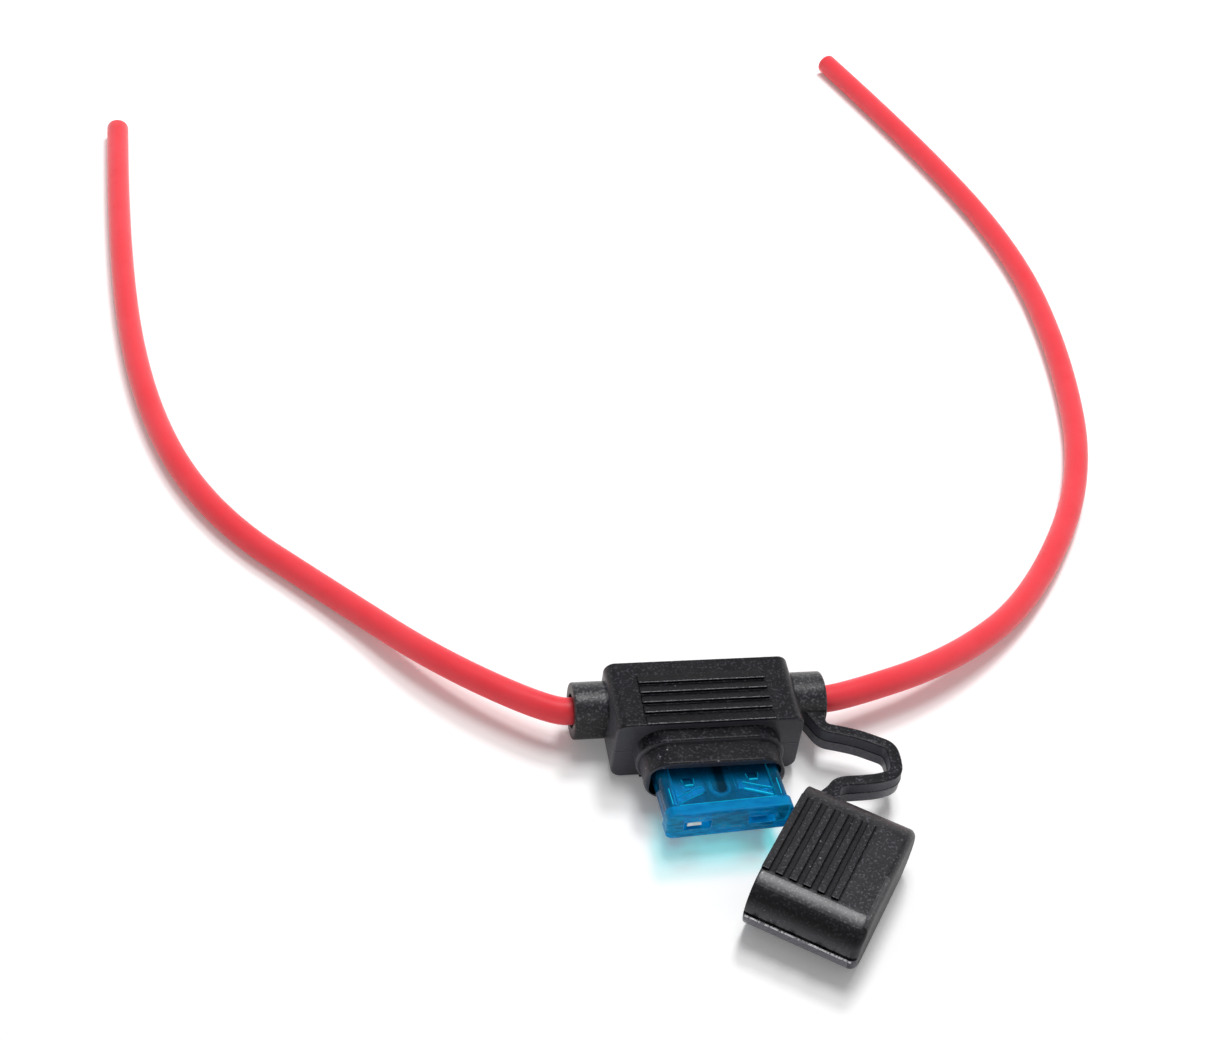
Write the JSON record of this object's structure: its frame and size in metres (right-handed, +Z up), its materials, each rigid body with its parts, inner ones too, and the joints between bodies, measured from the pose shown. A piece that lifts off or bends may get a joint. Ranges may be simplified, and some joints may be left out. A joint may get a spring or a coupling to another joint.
{
  "type": "inline blade fuse holder",
  "caption": "Inline blade fuse holder: soft moulded housing with a wire gland each side, oval mouth holding a translucent flat fuse, push-on cap on a strap, and round wire tails lying loose.",
  "frame": {"origin": "middle of the housing's flat underside, between the two wire glands", "axes": "+X along the wire glands to the strap side, -Y the way the fuse pulls out of the mouth, +Z up from the surface the part lies on"},
  "size_m": [0.1831, 0.2451, 0.0119],
  "materials": {
    "housing_pvc": "fine textured soft moulding",
    "cap_pvc": "fine textured soft moulding with a smoother round end",
    "strap_pvc": "fine textured soft moulding",
    "fuse_blue": "clear tinted moulding",
    "fuse_metal": "stamped plated sheet",
    "contact_metal": "folded plated sheet",
    "copper": "bare stranded copper",
    "wire_red": "smooth soft insulation"
  },
  "bodies": {
    "holder": {"housing": "housing_pvc", "cap_strap": "strap_pvc", "contact_left": "contact_metal", "contact_right": "contact_metal", "conductor_left": "copper", "conductor_right": "copper", "wire_left": "wire_red", "wire_right": "wire_red"},
    "fuse": {"fuse_body": "fuse_blue", "fuse_strip": "fuse_metal"},
    "cap": {"cap": "cap_pvc"}
  },
  "joints": [
    {"name": "fuse_pull", "type": "slide", "parent": "holder", "child": "fuse", "axis": [0.0558, -0.9984, 0], "range_m": [0, 0.012]},
    {"name": "cap_swing", "type": "hinge", "parent": "holder", "child": "cap", "pos_m": [0.0266, -0.0118, 0.0056], "axis": [0, 0, 1], "range_deg": [0, 50], "deforming": ["cap_strap"]}
  ]
}
